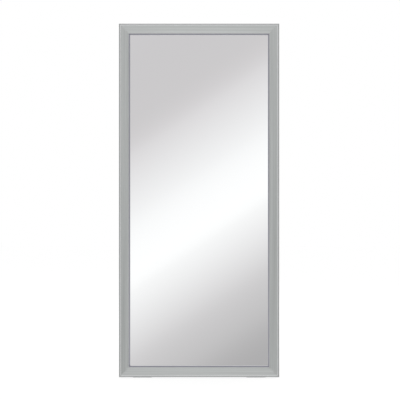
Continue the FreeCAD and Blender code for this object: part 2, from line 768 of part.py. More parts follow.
def write_parts(pieces):
    os.makedirs("parts", exist_ok=True)
    for piece in pieces:
        if piece.Shape.isNull() or not piece.Shape.isValid():
            raise RuntimeError(f"{piece.Label} has no valid shape")
        piece.Shape.exportStep(f"parts/{piece.Label}.step")


mirror = all_pieces()
doc.recompute()
check_document()
write_parts(mirror)
print(f"{len(mirror)} nodes, {sum(len(piece.Shape.Solids) for piece in mirror)} solids")
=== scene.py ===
"""The looks of a leaning floor mirror: foil-wrapped mouldings, the silvered pane and the hardware behind.

Metres.  +Z is up, the mirror faces -Y, and the origin is on the floor under the middle of the frame.
A moulding is drawn in its own frame: X along its length, Y the depth behind its front and Z in from its
outer edge.
"""

import json
import math

import bmesh
import bpy
from mathutils import Matrix, Vector


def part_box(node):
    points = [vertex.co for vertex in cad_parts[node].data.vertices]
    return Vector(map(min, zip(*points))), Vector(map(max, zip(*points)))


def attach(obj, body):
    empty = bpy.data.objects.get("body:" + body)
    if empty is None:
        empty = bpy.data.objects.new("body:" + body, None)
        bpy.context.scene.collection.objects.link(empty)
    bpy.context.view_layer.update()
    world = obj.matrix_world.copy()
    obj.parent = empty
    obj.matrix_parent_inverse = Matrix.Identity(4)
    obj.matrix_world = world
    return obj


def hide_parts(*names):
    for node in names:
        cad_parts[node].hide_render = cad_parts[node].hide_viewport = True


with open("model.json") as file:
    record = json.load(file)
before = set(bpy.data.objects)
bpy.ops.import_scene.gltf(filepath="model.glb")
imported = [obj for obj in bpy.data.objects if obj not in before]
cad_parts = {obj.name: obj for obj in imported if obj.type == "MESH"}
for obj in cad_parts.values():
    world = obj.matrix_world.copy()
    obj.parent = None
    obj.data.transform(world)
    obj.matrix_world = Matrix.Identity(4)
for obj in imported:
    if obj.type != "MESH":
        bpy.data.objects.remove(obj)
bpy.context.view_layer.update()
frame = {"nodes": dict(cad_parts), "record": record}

MM = 0.001
FULL_TURN = 2 * math.pi
WHITE = (1.0, 1.0, 1.0)

# ---------------------------------------------------------------- sizes

BOTTOM_LOW, BOTTOM_HIGH = (Vector(corner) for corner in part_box("frame_rail_bottom"))
TOP_HIGH = Vector(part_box("frame_rail_top")[1])
FRONT = BOTTOM_LOW.y
BACK = BOTTOM_HIGH.y
BASE = BOTTOM_LOW.z
TOP = TOP_HIGH.z
MIDDLE = (BASE + TOP) / 2
WIDTH = BOTTOM_HIGH.x - BOTTOM_LOW.x
HEIGHT = TOP - BASE
DEPTH = BACK - FRONT
FACE = BOTTOM_HIGH.z - BASE

RABBET = 10 * MM
WALL = FACE - RABBET  # the wood outside the rabbet
CENTRE_LINE = WALL / 2
OUTER_ROUND = 3.5 * MM
BEAD_WIDTH = 9.5 * MM
BEAD_RISE = 1.6 * MM
SLOPE_RUN = 7 * MM
SLOPE_CREST = 1.5 * MM  # the top of the slope, bright with a painted highlight, before its dark part of painted shade
NOSE = 2 * MM
LIP = 4 * MM
BACK_ROUND = 1.5 * MM
LEDGE = BEAD_RISE + SLOPE_RUN + (math.sqrt(2) - 1) * NOSE + LIP  # the depth of the rabbet's floor
FOIL_WRAP = 6 * MM  # the foil turns this far onto the back
MITRE_GAP = 0.15 * MM  # what each length stops short by at its mitres
PATTERN_STRIDE = 3  # shifts the pattern, so that no two lengths show the same stretch of it
SEAM = 0.5 * MM  # the bevel ground along the pane's edges

NAIL_CORNERS = (7 * MM, 36 * MM)
NAIL_WING = 6.5 * MM
NAIL_GAUGE = 0.6 * MM
KERF_DEPTH = 4 * MM

PLATE_GAUGE = 2 * MM
PLATE_EDGE = CENTRE_LINE - 8 * MM
PLATE_SCREWS = (33 * MM, 63 * MM)  # from the plate's corner
PLATE_HEAD = 7 * MM
PLATE_SHANK = 3.5 * MM

STRAP_DEPTH = 2.1 * MM
STRAP_SCREWS = (13 * MM, 29 * MM)  # from the ring's axis
HANGER_HEAD = 7.5 * MM
HANGER_DOME = 2.2 * MM
HANGER_ROUND = 1.2 * MM
HANGER_SHANK = 3 * MM
SCREW_LENGTH = 16 * MM
SCREW_TIP = 3 * MM

RECESS_SPAN = 3.6 * MM
RECESS_SLOT = 0.9 * MM
RECESS_DEPTH = 1.1 * MM
RECESS_FOOT = 0.45  # the recess's size at its foot, as a share of that at its mouth

RING_WIRE = 3 * MM
RING_HALF = 11.5 * MM  # the ring's axis of symmetry to the middle of its wire
RING_CORNER = 3 * MM
RING_STRAIGHT = 8 * MM
OVER_STRAP = 3.73  # degrees off flat, as a ring lies on its strap
ON_WOOD = 2.44  # degrees off flat, as a ring lies on the wood

BUMPER_RADIUS = 6 * MM
BUMPER_HEIGHT = 6.5 * MM
BUMPER_FLAT = 2.5 * MM
BUMPER_EDGE = 1.5 * MM
BUMPER_INSET = 110 * MM

ARC_STEPS = 12
TURN_STEPS = 40
WIRE_STEPS = 24
BEND_STEPS = 24
SHARP_OVER = 35  # degrees: an edge that turns by more stays crisp
MERGED_WITHIN = 0.001 * MM


# ---------------------------------------------------------------- material helpers

def principled(name, color, roughness, metallic=0.0, **sockets):
    """A Principled material whose constants sit on the shader's own sockets."""
    material = bpy.data.materials.new(name)
    material.use_nodes = True
    shader = material.node_tree.nodes["Principled BSDF"]
    shader.inputs["Base Color"].default_value = (*color, 1)
    shader.inputs["Roughness"].default_value = roughness
    shader.inputs["Metallic"].default_value = metallic
    for socket, value in sockets.items():
        shader.inputs[socket.replace("_", " ").title()].default_value = value
    return material, material.node_tree, shader


TO_SIZE = (1, 1, 1)


def mapped(tree, source, scale):
    """Texture coordinates, stretched: a low number draws the pattern out along that axis."""
    coordinates = tree.nodes.new("ShaderNodeTexCoord")
    mapping = tree.nodes.new("ShaderNodeMapping")
    mapping.inputs["Scale"].default_value = scale
    tree.links.new(coordinates.outputs[source], mapping.inputs["Vector"])
    return mapping.outputs["Vector"]


# Nearly all of a noise texture's values lie within the first pair, and most within the second
NOISE_SPAN = (0.3, 0.7)
NOISE_CORE = (0.35, 0.65)


def noise(tree, vector, detail=2.0, rough=0.5):
    """Noise of one cell to each unit of the coordinates, from 0 to 1."""
    texture = tree.nodes.new("ShaderNodeTexNoise")
    texture.inputs["Scale"].default_value = 1.0
    texture.inputs["Detail"].default_value = detail
    texture.inputs["Roughness"].default_value = rough
    tree.links.new(vector, texture.inputs["Vector"])
    return texture.outputs["Fac"]


def calculate(tree, operation, first, second=None):
    """A sum on one or two values: each is a number or another node's output."""
    node = tree.nodes.new("ShaderNodeMath")
    node.operation = operation
    for socket, value in zip(node.inputs, (first, second)):
        if isinstance(value, (int, float)):
            socket.default_value = value
        elif value is not None:
            tree.links.new(value, socket)
    return node.outputs["Value"]


def remapped(tree, value, low, high, to_low, to_high):
    """The value moved from one range to another, and held at that range's ends."""
    node = tree.nodes.new("ShaderNodeMapRange")
    sockets = ("From Min", "From Max", "To Min", "To Max")
    for socket, number in zip(sockets, (low, high, to_low, to_high)):
        node.inputs[socket].default_value = number
    tree.links.new(value, node.inputs["Value"])
    return node.outputs["Result"]


# The colour sockets of a Mix node, whose other types of socket have the same names
MIX_COLOR_A, MIX_COLOR_B, MIX_COLOR_RESULT = 6, 7, 2


def blended(tree, factor, first, second):
    """A colour between two: each is a colour or another node's output."""
    node = tree.nodes.new("ShaderNodeMix")
    node.data_type = "RGBA"
    tree.links.new(factor, node.inputs["Factor"])
    for socket, value in ((node.inputs[MIX_COLOR_A], first), (node.inputs[MIX_COLOR_B], second)):
        if isinstance(value, tuple):
            socket.default_value = (*value, 1)
        else:
            tree.links.new(value, socket)
    return node.outputs[MIX_COLOR_RESULT]


def bumped(tree, shader, height, strength, distance, edge=None):
    """Relief from a height; edge is the radius to which the piece's edges are worn round."""
    node = tree.nodes.new("ShaderNodeBump")
    if edge:
        worn = tree.nodes.new("ShaderNodeBevel")
        worn.inputs["Radius"].default_value = edge
        tree.links.new(worn.outputs["Normal"], node.inputs["Normal"])
    node.inputs["Strength"].default_value = strength
    node.inputs["Distance"].default_value = distance
    tree.links.new(height, node.inputs["Height"])
    tree.links.new(node.outputs["Normal"], shader.inputs["Normal"])


def scaled(tree, color, share):
    """A colour times a share."""
    node = tree.nodes.new("ShaderNodeVectorMath")
    node.operation = "SCALE"
    tree.links.new(color, node.inputs[0])
    tree.links.new(share, node.inputs["Scale"])
    return node.outputs["Vector"]


def split(tree, vector):
    """A vector's three parts."""
    node = tree.nodes.new("ShaderNodeSeparateXYZ")
    tree.links.new(vector, node.inputs["Vector"])
    return node.outputs


# ---------------------------------------------------------------- materials

ACROSS_AND_ALONG = "UV"  # every moulding's UV map: U across the section and V along it, in metres
# Streaks to the metre, across the moulding and along it
FINE_BRUSHING = (2600, 5, 1)
BROAD_BRUSHING = (210, 0.9, 1)
FINE_SHARE = 0.4  # of the fine brushing in the mix of the two
STREAK_SPAN = (0.34, 0.66)  # the mix's values at the darkest and the lightest tone
FOIL_ROUGHNESS_SPREAD = 0.05
CROWN_START = DEPTH - BACK_ROUND - OUTER_ROUND + math.pi / 2 * OUTER_ROUND  # the bead's flat crown, as U
# Painted shade on the foil's outer side and shoulder, where a turned-over edge looks darker: U where that
# painted shade starts to clear, U where it has cleared, and the share of its tone before
PAINTED_SHADE_SHOULDER = (CROWN_START + 1 * MM, CROWN_START + 3.5 * MM, 0.60)


def brushed_foil(name, dark, light, roughness, anisotropy, painted_shade=None):
    """Silver foil with fine lengthwise brushing, whose highlight spreads across the grain."""
    material, tree, shader = principled(name, light, roughness, 1.0, anisotropic=anisotropy)
    fine = noise(tree, mapped(tree, ACROSS_AND_ALONG, FINE_BRUSHING), detail=3)
    broad = noise(tree, mapped(tree, ACROSS_AND_ALONG, BROAD_BRUSHING), detail=3)
    streaks = calculate(tree, "ADD", calculate(tree, "MULTIPLY", fine, FINE_SHARE),
                        calculate(tree, "MULTIPLY", broad, 1 - FINE_SHARE))
    color = blended(tree, remapped(tree, streaks, *STREAK_SPAN, 0, 1), dark, light)
    # Painted shade: the tone is scaled down on the outer side and shoulder, clearing towards the bead's
    # crown
    if painted_shade:
        begins, ends, share = painted_shade
        across = split(tree, mapped(tree, ACROSS_AND_ALONG, TO_SIZE))[0]
        color = scaled(tree, color, remapped(tree, across, begins, ends, share, 1))
    tree.links.new(color, shader.inputs["Base Color"])
    low, high = roughness - FOIL_ROUGHNESS_SPREAD, roughness + FOIL_ROUGHNESS_SPREAD
    tree.links.new(remapped(tree, fine, *NOISE_SPAN, low, high), shader.inputs["Roughness"])
    tangent = tree.nodes.new("ShaderNodeTangent")
    tangent.direction_type = "UV_MAP"
    tree.links.new(tangent.outputs["Tangent"], shader.inputs["Tangent"])
    bumped(tree, shader, streaks, 0.12, 0.05 * MM)
    return material


FINGER_PITCH = 5 * MM
FINGER_REACH = 9 * MM
STAVE = 340 * MM  # from one finger joint to the next
FINGER_SEAM = 0.0016  # the width of a joint's line, as a share of a stave
GRAIN_ACROSS = 260
GRAIN_ALONG = 5
GRAIN_SHIFT = 17.3  # from one stave's grain to the next one's
STAVE_TONE = 0.35  # how far the palest stave goes towards its pale tone


def pine():
    """Bare finger-jointed pine, its grain running along the moulding."""
    material, tree, shader = principled("bare_pine", (0.60, 0.42, 0.24), 0.7)
    across, along, _ = split(tree, mapped(tree, ACROSS_AND_ALONG, TO_SIZE))
    zigzag = calculate(tree, "PINGPONG", across, FINGER_PITCH)
    reach = calculate(tree, "MULTIPLY", zigzag, FINGER_REACH / FINGER_PITCH)
    staves = calculate(tree, "DIVIDE", calculate(tree, "ADD", along, reach), STAVE)
    number = calculate(tree, "FLOOR", staves)
    tone = tree.nodes.new("ShaderNodeTexWhiteNoise")
    tone.noise_dimensions = "1D"
    tree.links.new(number, tone.inputs["W"])
    grain_place = tree.nodes.new("ShaderNodeCombineXYZ")
    for socket, value, scale in (("X", across, GRAIN_ACROSS), ("Y", along, GRAIN_ALONG),
                                 ("Z", number, GRAIN_SHIFT)):
        tree.links.new(calculate(tree, "MULTIPLY", value, scale), grain_place.inputs[socket])
    grain = noise(tree, grain_place.outputs["Vector"], detail=4, rough=0.6)
    early_wood = (0.70, 0.52, 0.31)
    late_wood = (0.50, 0.32, 0.16)
    pale_stave = (0.78, 0.62, 0.42)
    glue_line = (0.22, 0.13, 0.07)
    color = blended(tree, remapped(tree, grain, *NOISE_CORE, 0, 1), early_wood, late_wood)
    color = blended(tree, calculate(tree, "MULTIPLY", tone.outputs["Value"], STAVE_TONE), color, pale_stave)
    seam = calculate(tree, "LESS_THAN", calculate(tree, "FRACT", staves), FINGER_SEAM)
    color = blended(tree, calculate(tree, "MULTIPLY", seam, 0.6), color, glue_line)
    tree.links.new(color, shader.inputs["Base Color"])
    bumped(tree, shader, grain, 0.25, 0.15 * MM)
    return material


def silvered_glass():
    """The mirror's face, with the faint variation in polish of wiped glass."""
    material, tree, shader = principled("silvered_glass", (0.955, 0.962, 0.965), 0.012, 1.0)
    wiped = noise(tree, mapped(tree, "Object", (3, 3, 5)), detail=3)
    tree.links.new(remapped(tree, wiped, *NOISE_SPAN, 0.006, 0.018), shader.inputs["Roughness"])
    return material


def ground_edge():
    """The seamed green edge of float glass."""
    material, tree, shader = principled("ground_glass_edge", (0.30, 0.46, 0.40), 0.35)
    grit = noise(tree, mapped(tree, "Object", (900, 900, 900)), detail=2)
    color = blended(tree, grit, (0.20, 0.36, 0.31), (0.42, 0.60, 0.54))
    tree.links.new(color, shader.inputs["Base Color"])
    return material


def backing_paint():
    """Grey paint over the silver, as a roller leaves it."""
    material, tree, shader = principled("backing_paint", (0.26, 0.27, 0.28), 0.55)
    rolled = noise(tree, mapped(tree, "Object", (160, 160, 40)), detail=3)
    color = blended(tree, rolled, (0.22, 0.23, 0.24), (0.31, 0.32, 0.33))
    tree.links.new(color, shader.inputs["Base Color"])
    bumped(tree, shader, rolled, 0.2, 0.05 * MM)
    return material


SCREEN_PITCH = 1.6 * MM  # of the wire screen's print in the hardboard
FOAM_CELLS = 1100  # to the metre


def hardboard():
    """Brown hardboard whose rough side keeps the print of the screen it was pressed on."""
    material, tree, shader = principled("hardboard", (0.26, 0.15, 0.08), 0.75)
    fibres = noise(tree, mapped(tree, "Object", (700, 700, 260)), detail=4, rough=0.65)
    clouds = noise(tree, mapped(tree, "Object", (5, 5, 5)), detail=3)
    dark_fibre = (0.19, 0.105, 0.055)
    light_fibre = (0.34, 0.21, 0.12)
    stain = (0.22, 0.125, 0.065)
    color = blended(tree, remapped(tree, fibres, *NOISE_SPAN, 0, 1), dark_fibre, light_fibre)
    color = blended(tree, remapped(tree, clouds, *NOISE_CORE, 0, 0.35), color, stain)
    tree.links.new(color, shader.inputs["Base Color"])
    turns = FULL_TURN / SCREEN_PITCH
    x, _, z = split(tree, mapped(tree, "Object", (turns, turns, turns)))
    screen = calculate(tree, "MULTIPLY", calculate(tree, "SINE", x), calculate(tree, "SINE", z))
    height = calculate(tree, "ADD", screen, fibres)
    bumped(tree, shader, height, 0.6, 0.12 * MM)
    return material


def foam():
    """Pale foam, its closed cells about a millimetre across, with painted shade in their hollows."""
    material, tree, shader = principled("closed_cell_foam", (0.80, 0.80, 0.78), 0.9)
    cells = tree.nodes.new("ShaderNodeTexVoronoi")
    tree.links.new(mapped(tree, "Object", (FOAM_CELLS,) * 3), cells.inputs["Vector"])
    # Painted shade: darker towards each cell's middle, where the relief is lowest
    color = blended(tree, cells.outputs["Distance"], (0.70, 0.70, 0.68), (0.86, 0.86, 0.84))
    tree.links.new(color, shader.inputs["Base Color"])
    bumped(tree, shader, cells.outputs["Distance"], 0.3, 0.2 * MM)
    return material


def zinc(name, blue, straw, brushed_tone, roughness):
    """Bright zinc with the faint blue and straw tints of its passivation."""
    material, tree, shader = principled(name, blue, roughness, 1.0)
    tint = noise(tree, mapped(tree, "Object", (55, 55, 55)), detail=2)
    brushed = noise(tree, mapped(tree, "Object", (900, 900, 130)), detail=3)
    color = blended(tree, remapped(tree, tint, *NOISE_SPAN, 0, 1), blue, straw)
    color = blended(tree, remapped(tree, brushed, *NOISE_CORE, 0, 0.4), color, brushed_tone)
    tree.links.new(color, shader.inputs["Base Color"])
    dulled = remapped(tree, brushed, *NOISE_SPAN, roughness - 0.06, roughness + 0.1)
    tree.links.new(dulled, shader.inputs["Roughness"])
    bumped(tree, shader, brushed, 0.15, 0.03 * MM, edge=0.3 * MM)
    return material


def bare_steel():
    """Pressed steel, a little dull and stained."""
    material, tree, shader = principled("bare_steel", (0.45, 0.45, 0.46), 0.4, 1.0)
    stain = noise(tree, mapped(tree, "Object", (240, 240, 240)), detail=4, rough=0.6)
    color = blended(tree, remapped(tree, stain, 0.4, 0.7, 0, 1), (0.50, 0.50, 0.51), (0.31, 0.29, 0.27))
    tree.links.new(color, shader.inputs["Base Color"])
    tree.links.new(remapped(tree, stain, *NOISE_SPAN, 0.32, 0.55), shader.inputs["Roughness"])
    bumped(tree, shader, stain, 0.2, 0.03 * MM, edge=0.1 * MM)
    return material


def rubber(name, plain, handled):
    """Moulded rubber, a little greyed where it is handled."""
    material, tree, shader = principled(name, plain, 0.8)
    bloom = noise(tree, mapped(tree, "Object", (90, 90, 90)), detail=4, rough=0.6)
    grain = noise(tree, mapped(tree, "Object", (2400, 2400, 2400)), detail=1)
    color = blended(tree, remapped(tree, bloom, 0.4, 0.75, 0, 1), plain, handled)
    tree.links.new(color, shader.inputs["Base Color"])
    bumped(tree, shader, grain, 0.3, 0.06 * MM)
    return material


# The bead's foil is painted paler than the band's: a painted highlight along its crown, while its shoulder
# has painted shade
BEAD_FOIL_PAINTED_HIGHLIGHT = brushed_foil("bead_foil_painted_highlight", (0.85, 0.87, 0.87), (0.95, 0.97, 0.97), 0.30, 0.5, PAINTED_SHADE_SHOULDER)
BAND_FOIL = brushed_foil("band_foil", (0.57, 0.595, 0.585), (0.76, 0.785, 0.775), 0.34, 0.7)
# The sight edge's slope is painted darker and bluer than the same foil elsewhere: painted shade of the
# inward-facing slope
SIGHT_FOIL_PAINTED_SHADE = brushed_foil("sight_edge_foil_painted_shade", (0.41, 0.41, 0.475), (0.49, 0.49, 0.56), 0.36, 0.0)
# The lip's foil is painted paler than the band's: a painted highlight on the slope's crest, the nose and
# the lip
LIP_FOIL_PAINTED_HIGHLIGHT = brushed_foil("lip_foil_painted_highlight", (0.78, 0.78, 0.79), (0.86, 0.86, 0.87), 0.34, 0.0)
PINE = pine()
MIRROR = silvered_glass()
GLASS_EDGE = ground_edge()
BACK_PAINT = backing_paint()
HARDBOARD = hardboard()
FOAM = foam()
ZINC = zinc("zinc_plate", (0.60, 0.63, 0.68), (0.68, 0.65, 0.59), (0.47, 0.48, 0.49), 0.32)
BRIGHT_ZINC = zinc("bright_zinc", (0.80, 0.82, 0.86), (0.86, 0.84, 0.78), (0.66, 0.67, 0.68), 0.2)
STEEL = bare_steel()
RUBBER = rubber("black_rubber", (0.022, 0.022, 0.024), (0.07, 0.07, 0.072))
PALE_RUBBER = rubber("pale_rubber", (0.66, 0.67, 0.67), (0.55, 0.55, 0.54))


# ---------------------------------------------------------------- mesh helpers

def new_object(name, data):
    """A mesh, lamp or camera as an object of the scene."""
    piece = bpy.data.objects.new(name, data)
    bpy.context.scene.collection.objects.link(piece)
    return piece


def smoothed(mesh):
    """Smooth shading, kept crisp at sharp edges."""
    mesh.shade_smooth()
    mesh.set_sharp_from_angle(angle=math.radians(SHARP_OVER))


def arc(centre, radius, start, end):
    """Points of an arc from start to end degrees, both ends included."""
    points = []
    for step in range(ARC_STEPS + 1):
        angle = math.radians(start + (end - start) * step / ARC_STEPS)
        points.append((centre[0] + radius * math.cos(angle), centre[1] + radius * math.sin(angle)))
    return points


# ---------------------------------------------------------------- mouldings

def section():
    """The moulding's section as stretches of (depth, inset) points, each with its finish's name."""
    bead_end = BEAD_WIDTH - BEAD_RISE
    nose_centre = (LEDGE - LIP, FACE - NOSE)
    nose = arc(nose_centre, NOSE, 135, 90)
    slope = (BEAD_RISE, FACE - SLOPE_RUN)
    crest = (BEAD_RISE + SLOPE_CREST, FACE - SLOPE_RUN + SLOPE_CREST)
    return [
        ("bead", [(DEPTH - BACK_ROUND, 0), (OUTER_ROUND, 0)]),
        ("bead", arc((OUTER_ROUND, OUTER_ROUND), OUTER_ROUND, 270, 180)),
        ("bead", [(0, OUTER_ROUND), (0, bead_end)]),
        ("bead", arc((BEAD_RISE, bead_end), BEAD_RISE, 180, 90)),
        ("band", [(BEAD_RISE, BEAD_WIDTH), slope]),
        # The slope's crest in the lip's paler foil: a painted highlight
        ("lip", [slope, crest]),
        # The rest of the slope in the darker foil: painted shade
        ("sight", [crest, nose[0]]),
        ("lip", nose),
        ("lip", [(LEDGE - LIP, FACE), (LEDGE, FACE)]),
        ("wood", [(LEDGE, FACE), (LEDGE, WALL), (DEPTH, WALL), (DEPTH, FOIL_WRAP)]),
        ("bead", [(DEPTH, FOIL_WRAP), (DEPTH, BACK_ROUND)]),
        ("bead", arc((DEPTH - BACK_ROUND, BACK_ROUND), BACK_ROUND, 0, -90)),
    ]


# The finishes that section() names, in the order of the mouldings' material slots
FINISHES = {"bead": BEAD_FOIL_PAINTED_HIGHLIGHT, "band": BAND_FOIL, "sight": SIGHT_FOIL_PAINTED_SHADE, "lip": LIP_FOIL_PAINTED_HIGHLIGHT, "wood": PINE}


def moulding_mesh(name, length, offset):
    """One mitred length, in its own frame, with U across and V along it; offset shifts the pattern."""
    outline, slots = [], []
    finish_names = list(FINISHES)
    for finish, points in section():
        for point in points[:-1]:
            outline.append(point)
            slots.append(finish_names.index(finish))
    count = len(outline)
    run, travelled = [0.0], 0.0
    for here, there in zip(outline, outline[1:] + outline[:1]):
        travelled += math.dist(here, there)
        run.append(travelled)
    vertices = []
    for end in (-1, 1):
        for depth, inset in outline:
            vertices.append((end * (length / 2 - inset - MITRE_GAP), depth, inset))
    faces = [(i, count + i, count + (i + 1) % count, (i + 1) % count) for i in range(count)]
    faces += [tuple(range(count)), tuple(reversed(range(count, 2 * count)))]
    mesh = bpy.data.meshes.new(name)
    mesh.from_pydata(vertices, [], faces)
    for material in FINISHES.values():
        mesh.materials.append(material)
    layer = mesh.uv_layers.new(name="grain")
    for polygon in mesh.polygons:
        side = polygon.index < count
        polygon.material_index = slots[polygon.index] if side else finish_names.index("wood")
        for loop in polygon.loop_indices:
            vertex = mesh.loops[loop].vertex_index
            x, depth, inset = vertices[vertex]
            if side:
                step = polygon.index + (vertex % count != polygon.index)
                layer.data[loop].uv = (run[step], x + offset)
            else:
                layer.data[loop].uv = (inset, depth)
    return mesh


def kerf_cutter(length):
    """Blocks where the wings of the V-nails went in, near both ends of a moulding's back."""
    cutter = bmesh.new()
    for end in (-1, 1):
        for corner in NAIL_CORNERS:
            along = end * (length / 2 - corner - NAIL_WING / 2)
            size = Matrix.Diagonal((NAIL_WING + NAIL_GAUGE, 2 * KERF_DEPTH, NAIL_GAUGE, 1))
            spot = Matrix.Translation((along, DEPTH, corner + NAIL_GAUGE / 2))
            bmesh.ops.create_cube(cutter, size=1, matrix=spot @ size)
    mesh = bpy.data.meshes.new("kerfs")
    cutter.to_mesh(mesh)
    cutter.free()
    mesh.materials.append(PINE)
    return new_object("kerfs", mesh)


def cut_away(piece, cutter):
    """Take the cutter out of the piece and delete the cutter."""
    boolean = piece.modifiers.new("cut", "BOOLEAN")
    boolean.object = cutter
    boolean.operation = "DIFFERENCE"
    boolean.solver = "EXACT"
    boolean.material_mode = "TRANSFER"
    bpy.context.view_layer.update()
    shape = bpy.data.meshes.new_from_object(piece.evaluated_get(bpy.context.evaluated_depsgraph_get()))
    piece.modifiers.clear()
    piece.data = shape
    bpy.data.objects.remove(cutter)


def moulding(name, node, length, turn, place):
    """One length of the frame, turned about Y by some degrees and put where the frame's node is."""
    pattern_offset = place[0] + PATTERN_STRIDE * place[2]
    piece = new_object(name, moulding_mesh(name, length, pattern_offset))
    cut_away(piece, kerf_cutter(length))
    piece.data.transform(Matrix.Translation(place) @ Matrix.Rotation(math.radians(turn), 4, "Y"))
    smoothed(piece.data)
    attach(piece, "framed_mirror")
    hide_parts(node)


moulding("moulding_bottom", "frame_rail_bottom", WIDTH, 0, (0, FRONT, BASE))
moulding("moulding_top", "frame_rail_top", WIDTH, 180, (0, FRONT, TOP))
moulding("moulding_right", "frame_stile_right", HEIGHT, -90, (WIDTH / 2, FRONT, MIDDLE))
moulding("moulding_left", "frame_stile_left", HEIGHT, 90, (-WIDTH / 2, FRONT, MIDDLE))


# ---------------------------------------------------------------- pane

def silvered_pane():
    """The pane with a mirror face, seamed edges and a painted back."""
    low, high = (Vector(corner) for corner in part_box("mirror_pane"))
    loops = [(low.y, SEAM), (low.y + SEAM, 0), (high.y - SEAM, 0), (high.y, SEAM)]
    vertices = []
    for depth, inset in loops:
        left, right, foot, head = low.x + inset, high.x - inset, low.z + inset, high.z - inset
        vertices += [(left, depth, foot), (right, depth, foot), (right, depth, head), (left, depth, head)]
    last = 4 * (len(loops) - 1)
    faces = [(0, 1, 2, 3), (last + 3, last + 2, last + 1, last)]
    for start in range(0, last, 4):
        for side in range(4):
            following = (side + 1) % 4
            faces.append((start + following, start + side, start + 4 + side, start + 4 + following))
    mesh = bpy.data.meshes.new("silvered_pane")
    mesh.from_pydata(vertices, [], faces)
    finishes = (MIRROR, BACK_PAINT, GLASS_EDGE)  # of the front, of the back and of every other face
    for material in finishes:
        mesh.materials.append(material)
    for polygon in mesh.polygons:
        polygon.material_index = min(polygon.index, len(finishes) - 1)
    piece = new_object("silvered_pane", mesh)
    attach(piece, "framed_mirror")
    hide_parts("mirror_pane")


silvered_pane()


# ---------------------------------------------------------------- hardware on the back

def turned(name, outline):
    """A (radius, height) outline turned about +Y: both of its ends lie on the axis."""
    shape = bmesh.new()
    points = [shape.verts.new((radius, height, 0)) for radius, height in outline]
    edges = [shape.edges.new(pair) for pair in zip(points, points[1:])]
    bmesh.ops.spin(shape, geom=points + edges, cent=(0, 0, 0), axis=(0, 1, 0), angle=FULL_TURN,
                   steps=TURN_STEPS, use_merge=True)
    bmesh.ops.remove_doubles(shape, verts=shape.verts, dist=MERGED_WITHIN)
    bmesh.ops.recalc_face_normals(shape, faces=shape.faces)
    mesh = bpy.data.meshes.new(name)
    shape.to_mesh(mesh)
    shape.free()
    return new_object(name, mesh)


def cross_cutter(top):
    """The tapered cross that a driver's point leaves in a head whose top is at this height.

    Its taper runs on above the head by as much as it goes in, so that it cuts cleanly through the top.
    """
    vertices = []
    for height, share in ((top + RECESS_DEPTH, 2 - RECESS_FOOT), (top - RECESS_DEPTH, RECESS_FOOT)):
        arm, slot = share * RECESS_SPAN / 2, share * RECESS_SLOT / 2
        quarter = [(slot, -arm), (slot, -slot), (arm, -slot)]
        for turn in range(4):
            for x, z in quarter:
                vertices.append((x, height, z))
            quarter = [(-z, x) for x, z in quarter]
    count = len(vertices) // 2
    faces = [(i, (i + 1) % count, count + (i + 1) % count, count + i) for i in range(count)]
    faces += [tuple(reversed(range(count))), tuple(range(count, 2 * count))]
    mesh = bpy.data.meshes.new("cross")
    mesh.from_pydata(vertices, [], faces)
    return new_object("cross", mesh)


def repeated(name, source, spots, node, material):
    """Copies of one piece, joined into a single piece that stands for a node of the frame."""
    whole = bmesh.new()
    for spot in spots:
        copy = source.data.copy()
        copy.transform(spot)
        whole.from_mesh(copy)
        bpy.data.meshes.remove(copy)
    mesh = bpy.data.meshes.new(name)
    whole.to_mesh(mesh)
    whole.free()
    mesh.materials.clear()
    mesh.materials.append(material)
    smoothed(mesh)
    piece = new_object(name, mesh)
    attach(piece, "framed_mirror")
    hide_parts(node)
    bpy.data.objects.remove(source)


def screw(name, head, shank, seat_to_point):
    """A screw with a cross recess: head is its outline from the top of the axis to the shank."""
    tip = [(shank / 2, SCREW_TIP - seat_to_point), (0, -seat_to_point)]
    piece = turned(name, head + tip)
    cut_away(piece, cross_cutter(head[0][1]))
    return piece


SIDES_AND_ENDS = [(side, end, up) for side in (-1, 1) for end, up in ((BASE, 1), (TOP, -1))]
SLOT_TURN = 0.9  # radians: each screw stops this much further round than the one before


def plate_screws():
    """Four countersunk screws in each corner plate."""
    head = [(0, 0), (PLATE_HEAD / 2, 0), (PLATE_SHANK / 2, -(PLATE_HEAD - PLATE_SHANK) / 2)]
    spots = []
    for side, end, up in SIDES_AND_ENDS:
        for screw_place in PLATE_SCREWS:
            along = PLATE_EDGE + screw_place
            for inward, upward in ((along, CENTRE_LINE), (CENTRE_LINE, along)):
                place = (side * (WIDTH / 2 - inward), BACK + PLATE_GAUGE, end + up * upward)
                spots.append(Matrix.Translation(place) @ Matrix.Rotation(SLOT_TURN * len(spots), 4, "Y"))
    source = screw("plate_screw", head, PLATE_SHANK, SCREW_LENGTH)
    repeated("plate_screws", source, spots, "corner_plate_screws", BRIGHT_ZINC)


def hanger_frames():
    """Each hanger's side and frame: X along the ring's axis, Y out of the wood, Z away from the strap."""
    for joint in frame["record"]["behaviour"]["joints"]:
        side = joint["name"].split("_")[-1]
        turn = 90 if side in ("top", "bottom") else 0
        yield side, Matrix.Translation(joint["pos_m"]) @ Matrix.Rotation(math.radians(turn), 4, "Y")


def strap_screws():
    """Two pan-head screws in each strap."""
    rim = arc((HANGER_HEAD / 2 - HANGER_ROUND, HANGER_DOME - HANGER_ROUND), HANGER_ROUND, 90, 0)
    head = [(0, HANGER_DOME), *rim, (HANGER_HEAD / 2, 0), (HANGER_SHANK / 2, 0)]
    spots = []
    for _, own in hanger_frames():
        for screw_place in STRAP_SCREWS:
            seat = Vector((0, BACK + STRAP_DEPTH - own.translation.y, -screw_place))
            spots.append(own @ Matrix.Translation(seat) @ Matrix.Rotation(SLOT_TURN * len(spots), 4, "Y"))
    source = screw("strap_screw", head, HANGER_SHANK, SCREW_LENGTH - STRAP_DEPTH)
    repeated("strap_screws", source, spots, "hanger_screws", BRIGHT_ZINC)


